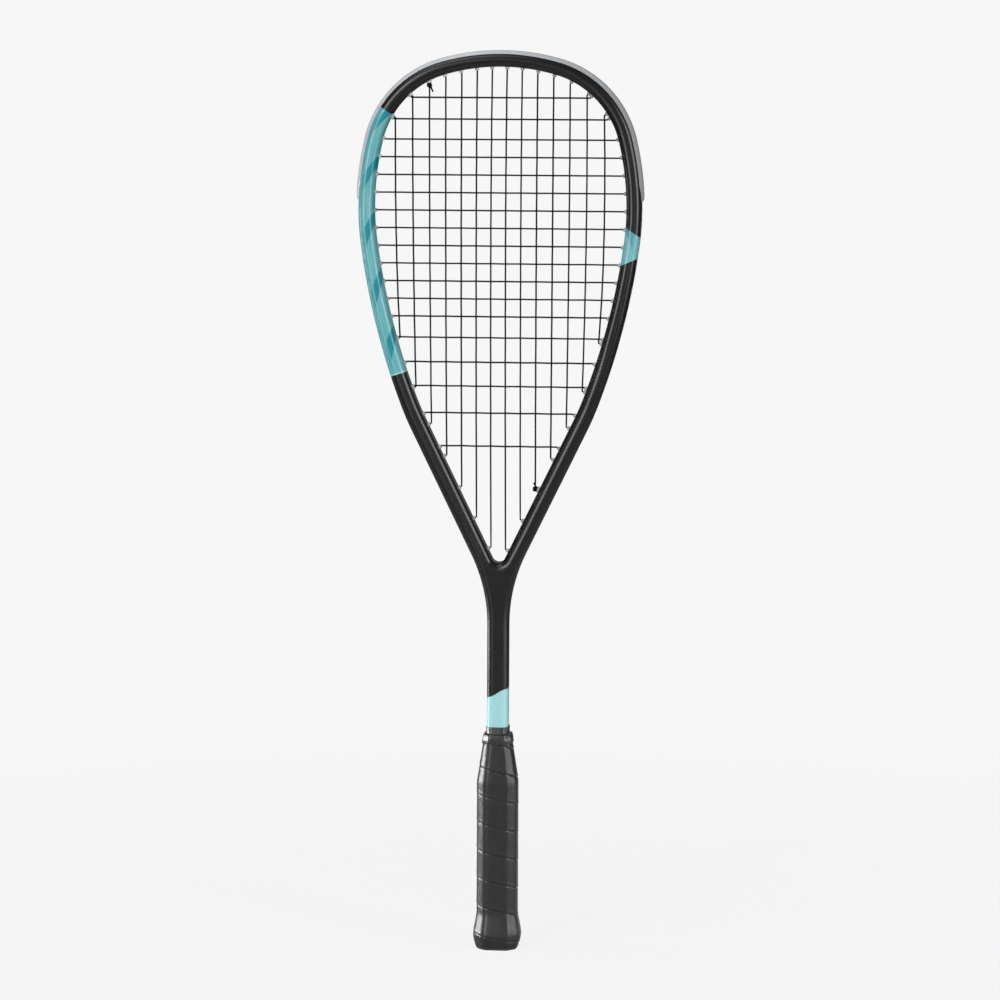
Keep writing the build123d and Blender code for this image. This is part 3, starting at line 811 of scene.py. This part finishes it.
def main_points(main, down):
    """A main over and under every cross, from top to bottom or back up."""
    marks = []
    for row in range(1, CROSS_COUNT + 1):
        place = crossing(main, row)
        if place:
            marks.append((Vector((place[0], 0, place[1])), -MAIN_RISE * over(main, row)))
    top, bottom = main_tops[main].bend, main_bottoms[main].bend
    points = waved(top, bottom, marks)
    for point in points[1:-1]:
        point.x = main_at(main, point.z)
    return points if down else points[::-1]


def cross_points(row, leftward):
    """A cross over and under every main, from left to right or back."""
    marks = []
    for main in sorted(numbers, key=lambda key: key[1] * key[0]):
        place = crossing(main, row)
        if place:
            marks.append((Vector((place[0], 0, place[1])), CROSS_RISE * over(main, row)))
    marks.sort(key=lambda mark: mark[0].x)
    points = waved(cross_ends[row, -1].bend, cross_ends[row, 1].bend, marks)
    return points[::-1] if leftward else points


def knot(tie, main, way):
    """Turns of the string's end round a main, the middle one bulging, then its cut tail. way is 1 up the main,
    -1 down."""
    base = max(main.bend.z * way, (tie.mouth.z - STRING_BEND) * way) * way
    points = []
    for step in range(KNOT_TURNS * KNOT_STEPS + 1):
        turn = radians(-45 - 360 * step / KNOT_STEPS)
        radius = STRING_DIAMETER + 0.03 + 0.25 * (step // KNOT_STEPS == 1)
        climb = -1.1 + 1.0 * step / KNOT_STEPS
        points.append(Vector((main.bend.x + radius * cos(turn), radius * sin(turn), base + way * climb)))
    bent = points[-1] + Vector((-0.6 * way, -0.5, 0.5 * way))
    tail = [bent + Vector((-0.7 * way, -0.1, 1.4 * way)), bent + Vector((-1.3 * way, -0.1, 3.0 * way))]
    return [*points, bent, *tail]


def throat_run(side):
    """From the lowest main's hole down the channel to the cross hole in the throat."""
    hole = main_bottoms[1, side]
    x, z, _ = channel_path.at(tunnel_along)
    return [hole.outer, *channel_points(hole.channel, tunnel_along, side, 0), Vector((side * x, 0, z))]


def string_points():
    """The whole string: mains on the left, throat, mains on the right, then the crosses from the top down."""
    route = [top_tie.mouth, *link(top_tie, main_tops[MAINS_PER_SIDE, -1], -1)]
    for number in range(MAINS_PER_SIDE, 0, -1):
        down = number % 2 == MAINS_PER_SIDE % 2
        route += main_points((number, -1), down)
        if number > 1:
            loop, lane = (main_bottoms, -1) if down else (main_tops, 1)
            route += link(loop[number, -1], loop[number - 1, -1], lane)
    route += throat_run(-1) + throat_run(1)[::-1]
    for number in range(1, MAINS_PER_SIDE + 1):
        up = number % 2 == 1
        route += main_points((number, 1), not up)
        if number < MAINS_PER_SIDE:
            loop, lane = (main_tops, 1) if up else (main_bottoms, -1)
            route += link(loop[number, 1], loop[number + 1, 1], lane)
    route += link(main_tops[MAINS_PER_SIDE, 1], cross_ends[1, 1], 1)
    for row in range(1, CROSS_COUNT + 1):
        leftward = row % 2 == 1
        route += cross_points(row, leftward)
        if row < CROSS_COUNT:
            side = -1 if leftward else 1
            route += link(cross_ends[row, side], cross_ends[row + 1, side], 1)
    route += [*link(cross_ends[CROSS_COUNT, 1], bottom_tie, 1), bottom_tie.mouth]
    first = knot(top_tie, main_tops[5, -1], -1)
    last = knot(bottom_tie, main_bottoms[3, 1], 1)
    return [*reversed(first), *route, *last]


def build_string():
    points = string_points()
    curve = bpy.data.curves.new("string_path", "CURVE")
    curve.dimensions = "3D"
    spline = curve.splines.new("POLY")
    spline.points.add(len(points) - 1)
    for place, point in zip(spline.points, points):
        place.co = (*(point * MM), 1)
    curve.bevel_depth = STRING_DIAMETER / 2 * MM
    curve.bevel_resolution = 2
    curve.use_fill_caps = True
    curve.twist_mode = "MINIMUM"
    shape = bpy.data.objects.new("string_path", curve)
    bpy.context.scene.collection.objects.link(shape)
    bpy.context.view_layer.update()
    mesh = bpy.data.meshes.new_from_object(shape.evaluated_get(bpy.context.evaluated_depsgraph_get()))
    bpy.data.objects.remove(shape)
    piece = bpy.data.objects.new("string_bed", mesh)
    bpy.context.scene.collection.objects.link(piece)
    mesh.materials.clear()
    mesh.materials.append(string_gut)
    mesh.shade_smooth()
    return piece


# ---------------------------------------------------------------- handle
def grown(size, growth):
    """An octagon's size after it grows evenly on all sides."""
    return size[0] + 2 * growth, size[1] + 2 * growth, size[2] + growth * BEVEL_SHRINK


def between(low, high, share):
    return tuple(a + (b - a) * share for a, b in zip(low, high))


def octagon(size, corner, along_edge=4, along_corner=4):
    """Points round an octagon with rounded corners, anticlockwise from above, from the middle of the front."""
    width, depth, bevel = size
    x, y = width / 2, depth / 2
    corners = [(bevel - x, -y), (x - bevel, -y), (x, bevel - y), (x, y - bevel),
               (x - bevel, y), (bevel - x, y), (-x, y - bevel), (-x, bevel - y)]
    points = []
    for k in range(8):
        before, here, after = (Vector(corners[(k + d) % 8]) for d in (-1, 0, 1))
        into, out = (here - before).normalized(), (after - here).normalized()
        reach = corner * np.tan(radians(22.5))
        start, end = here - into * reach, here + out * reach
        for step in range(along_corner + 1):
            share = step / along_corner
            points.append(start.lerp(here, share).lerp(here.lerp(end, share), share))
        stop = after - (after - here).normalized() * reach
        for step in range(1, along_edge):
            points.append(end.lerp(stop, step / along_edge))
    return points


def handle_size(z):
    """Outer octagon of the grip at a height."""
    if z > CONE_START:
        return between(HANDLE, CONE_TOP, min(1.0, (z - CONE_START) / (GRIP_TOP - CONE_START)))
    for (z0, g0), (z1, g1) in zip(GRIP_STATIONS, GRIP_STATIONS[1:]):
        if z0 <= z <= z1:
            return grown(HANDLE, g0 + (g1 - g0) * (z - z0) / (z1 - z0))
    return HANDLE


def wrap_profile():
    """Places across the strip of wrap, from its lower edge up, and how far each stands out."""
    edge = [(0.0, -0.42), (0.2, -0.3), (0.4, 0.0), (0.8, WRAP_EDGE), (1.5, WRAP_EDGE), (2.6, 0.04)]
    top = [(WRAP_PITCH - 1.2, -0.1), (WRAP_PITCH - 0.55, -0.16), (WRAP_PITCH - 0.25, -0.32), (WRAP_PITCH, -0.42)]
    middle = [(2.6 + (WRAP_PITCH - 3.8) * k / 10, 0.04 - 0.014 * k) for k in range(1, 10)]
    return edge + middle + top


def build_grip():
    """The wrap: one strip wound down the handle, its rows running round with the winding."""
    bottom, top = GRIP_STATIONS[0][0], GRIP_TOP
    ring = octagon(HANDLE, GRIP_CORNER)
    count = len(ring)
    steps = [(ring[(k + 1) % count] - ring[k]).length for k in range(count)]
    shares = [sum(steps[:k]) / sum(steps) for k in range(count)]
    across = wrap_profile()
    rows = WRAP_TURNS * count + 1
    vertices = []
    for row in range(rows):
        k = row % count
        seam = WRAP_BASE + WRAP_PITCH * (WRAP_TURNS - 1.5 - row // count - shares[k])
        for level, raised in across:
            z = min(top, max(bottom, seam + level))
            point = octagon(handle_size(z), GRIP_CORNER)[k]
            out = raised - WRAP_EDGE if bottom < seam + level < top else -WRAP_EDGE
            moved = point + point.normalized() * out
            vertices.append((moved.x, moved.y, z))
    faces = grid_faces(rows, len(across), False)
    # Rings that close the ends inwards.
    for size, z in ((grown(CONE_TOP, -1.2), top), (grown(HANDLE, -1.0), bottom)):
        base = len(vertices)
        inner, outer = octagon(size, 2.0), octagon(handle_size(z), GRIP_CORNER)
        vertices += [(point.x, point.y, z) for point in inner]
        vertices += [(*(point + point.normalized() * -WRAP_EDGE)[:2], z) for point in outer]
        for k in range(count):
            after = (k + 1) % count
            faces.append((base + k, base + after, base + count + after, base + count + k))
    piece = mesh_object("grip_sleeve", vertices, faces, grip_wrap)
    weld(piece, 0.002, 70)
    return piece


def build_rings(name, stations, surface):
    """Closed body through rounded octagons: (height, size, corner radius)."""
    vertices = []
    for z, size, corner in stations:
        ring = octagon(size, corner)
        vertices += [(point.x, point.y, z) for point in ring]
    count = len(ring)
    faces = grid_faces(len(stations), count, True)
    faces.append(tuple(reversed(range(count))))
    faces.append(tuple(range(len(vertices) - count, len(vertices))))
    return mesh_object(name, vertices, faces, surface, 40)


def build_tape():
    ring = (SHAFT_WIDTH + 1.0, FRAME_DEPTH + 1.0, 3.3)
    low = between(HANDLE, CONE_TOP, (TAPE_BOTTOM - CONE_START) / (GRIP_TOP - CONE_START))
    stations = [(TAPE_BOTTOM, grown(low, -0.8), 2.6), (TAPE_BOTTOM, grown(low, 0.35), 2.6),
                (160.25, grown(low, 0.48), 2.7), (163.5, grown(between(low, CONE_TOP, 0.5), 0.5), 2.7),
                (166.6, grown(CONE_TOP, 0.5), 2.7), (167.2, grown(CONE_TOP, 0.2), 2.7),
                (167.6, grown(ring, 0.35), 3.0), (168.2, ring, 3.0), (172.7, ring, 3.0),
                (173.0, grown(ring, -0.15), 3.0), (173.0, grown(ring, -0.6), 2.6)]
    return build_rings("tape_sleeve", stations, tape_film)


def build_cap():
    stations = [(0.0, grown(HANDLE, -3.0), 3.0), (0.0, grown(HANDLE, -1.75), 3.0), (0.1, grown(HANDLE, -1.3), 4.0),
                (0.4, grown(HANDLE, -0.8), 5.0), (0.9, grown(HANDLE, -0.3), 6.0), (1.4, grown(HANDLE, 0.1), 6.8),
                (2.0, grown(HANDLE, 0.42), 7.2), (2.0, grown(HANDLE, -1.0), 3.0)]
    return build_rings("cap_end", stations, cap_plastic)


# ---------------------------------------------------------------- assembly
def place(piece, slot, *nodes):
    """Hand a piece to the frame in place of the nodes' own meshes."""
    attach(piece, "root")
    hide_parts(*nodes)


place(build_frame(), "frame_lacquer", "frame")
place(build_bumper(), "guard_nylon", "bumper_guard")
place(build_strip(-1), "strip_nylon", "grommet_strip_left")
place(build_strip(1), "strip_nylon", "grommet_strip_right")
place(build_string(), "string_gut", "string")
place(build_grip(), "grip_wrap", "grip")
place(build_tape(), "tape_film", "finishing_tape")
place(build_cap(), "cap_plastic", "butt_cap")
for name, surface in (("handle_pallet", pallet_foam), ("butt_cap_staples", staple_wire)):
    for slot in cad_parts[name].material_slots:
        slot.material = surface


# ---------------------------------------------------------------- camera, floor and lights
BACKGROUND = 0.93
STUDIO_GLOW = 0.28
CAMERA_LENS = 142.07
CAMERA_DISTANCE = 3.0
CAMERA_TARGET = (0.0008, 0, 0.3466)
CAMERA_AZIMUTH, CAMERA_ELEVATION, CAMERA_ROLL = 6, 6.5, 0.2406


def look(obj, target):
    obj.rotation_euler = (Vector(target) - obj.location).to_track_quat("-Z", "Y").to_euler()


def around(azimuth, elevation, distance, height=0.4):
    """A point at a direction in degrees and a distance from a height on the racket's axis, in metres."""
    azimuth, elevation = radians(azimuth), radians(elevation)
    return (distance * sin(azimuth) * cos(elevation), -distance * cos(azimuth) * cos(elevation),
            height + distance * sin(elevation))


# Name, place, point aimed at, size, power and spread in degrees. The two side lights reach the handle only.
LIGHTS = [
    ("left_strip", around(-25, 12, 2.6), (0, 0, 0.4), (0.4, 1.6), 40, 180),
    ("right_strip", around(54, 10, 2.6), (0, 0, 0.4), (0.7, 1.6), 46, 180),
    ("top", around(-40, 62, 2.2), (0, 0, 0.5), (1.2, 1.0), 12, 180),
    ("left_side", around(-92, 2, 1.6, 0.15), (0, 0, 0.12), (0.5, 0.5), 1.3, 30),
    ("right_side", around(84, 2, 1.6, 0.12), (0, 0, 0.1), (0.5, 0.3), 0.2, 30),
    ("front", around(12, -2, 2.6, 0.35), (0, 0, 0.35), (0.25, 0.4), 3, 180),
]


def build_camera():
    data = bpy.data.cameras.new("camera")
    data.sensor_width = 36
    data.lens = CAMERA_LENS
    data.clip_end = 60
    camera = bpy.data.objects.new("camera", data)
    bpy.context.scene.collection.objects.link(camera)
    azimuth, elevation = radians(CAMERA_AZIMUTH), radians(CAMERA_ELEVATION)
    away = Vector((sin(azimuth) * cos(elevation), -cos(azimuth) * cos(elevation), sin(elevation)))
    camera.location = Vector(CAMERA_TARGET) + away * CAMERA_DISTANCE
    look(camera, CAMERA_TARGET)
    roll = Matrix.Rotation(radians(CAMERA_ROLL), 3, "Z")
    camera.rotation_euler = (camera.rotation_euler.to_matrix() @ roll).to_euler()
    bpy.context.scene.camera = camera


def area_light(name, place, target, size, power, spread):
    data = bpy.data.lights.new(name, "AREA")
    data.shape = "RECTANGLE"
    data.size, data.size_y = size
    data.energy = power
    data.spread = radians(spread)
    lamp = bpy.data.objects.new(name, data)
    bpy.context.scene.collection.objects.link(lamp)
    lamp.location = place
    look(lamp, target)


def build_floor():
    """Pale floor: seen as plain as the background, except for the object's shadow round its foot."""
    mesh = bpy.data.meshes.new("floor")
    mesh.from_pydata([(-30, -30, 0), (30, -30, 0), (30, 30, 0), (-30, 30, 0)], [], [(0, 1, 2, 3)])
    floor = bpy.data.objects.new("floor", mesh)
    bpy.context.scene.collection.objects.link(floor)
    surface = bpy.data.materials.new("floor")
    surface.use_nodes = True
    tree = surface.node_tree
    tree.nodes.clear()
    out = node(tree, "ShaderNodeOutputMaterial")
    diffuse = node(tree, "ShaderNodeBsdfDiffuse")
    glow = node(tree, "ShaderNodeEmission", Color=(BACKGROUND, BACKGROUND, BACKGROUND, 1), Strength=1.0)
    # Near the foot a share of the lit floor shows, with the shadow on it.
    away = node(tree, "ShaderNodeVectorMath", operation="LENGTH")
    tree.links.new(node(tree, "ShaderNodeTexCoord").outputs["Object"], away.inputs[0])
    plain = map_range(tree, away.outputs["Value"], 0.1, 1.0, 0.90, 1.0)
    shade = map_range(tree, away.outputs["Value"], 0.5, 1.4, 0.0, 1.0)
    tree.links.new(mix_colour(tree, shade, (0.8, 0.8, 0.8, 1), (0.12, 0.12, 0.12, 1)), diffuse.inputs["Color"])
    seen = node(tree, "ShaderNodeMixShader")
    tree.links.new(math_node(tree, "MULTIPLY", background_ray(tree), plain), seen.inputs[0])
    tree.links.new(diffuse.outputs[0], seen.inputs[1])
    tree.links.new(glow.outputs[0], seen.inputs[2])
    tree.links.new(seen.outputs[0], out.inputs[0])
    mesh.materials.append(surface)


def background_ray(tree):
    """1 for rays that should see the pale background rather than the studio's own light."""
    path = node(tree, "ShaderNodeLightPath")
    return math_node(tree, "MAXIMUM", path.outputs["Is Camera Ray"], path.outputs["Is Transmission Ray"])


def build_world():
    """Plain studio light; the camera sees the pale background instead."""
    world = bpy.data.worlds.new("studio")
    bpy.context.scene.world = world
    world.use_nodes = True
    tree = world.node_tree
    tree.nodes.clear()
    out = node(tree, "ShaderNodeOutputWorld")
    plain = node(tree, "ShaderNodeBackground", Color=(1, 1, 1, 1), Strength=STUDIO_GLOW)
    white = node(tree, "ShaderNodeBackground", Color=(BACKGROUND, BACKGROUND, BACKGROUND, 1), Strength=1.0)
    mix = node(tree, "ShaderNodeMixShader")
    tree.links.new(background_ray(tree), mix.inputs[0])
    tree.links.new(plain.outputs[0], mix.inputs[1])
    tree.links.new(white.outputs[0], mix.inputs[2])
    tree.links.new(mix.outputs[0], out.inputs[0])


build_camera()
build_floor()
build_world()
for light in LIGHTS:
    area_light(*light)

bpy.context.scene.view_settings.view_transform = "Standard"

bpy.context.view_layer.update()
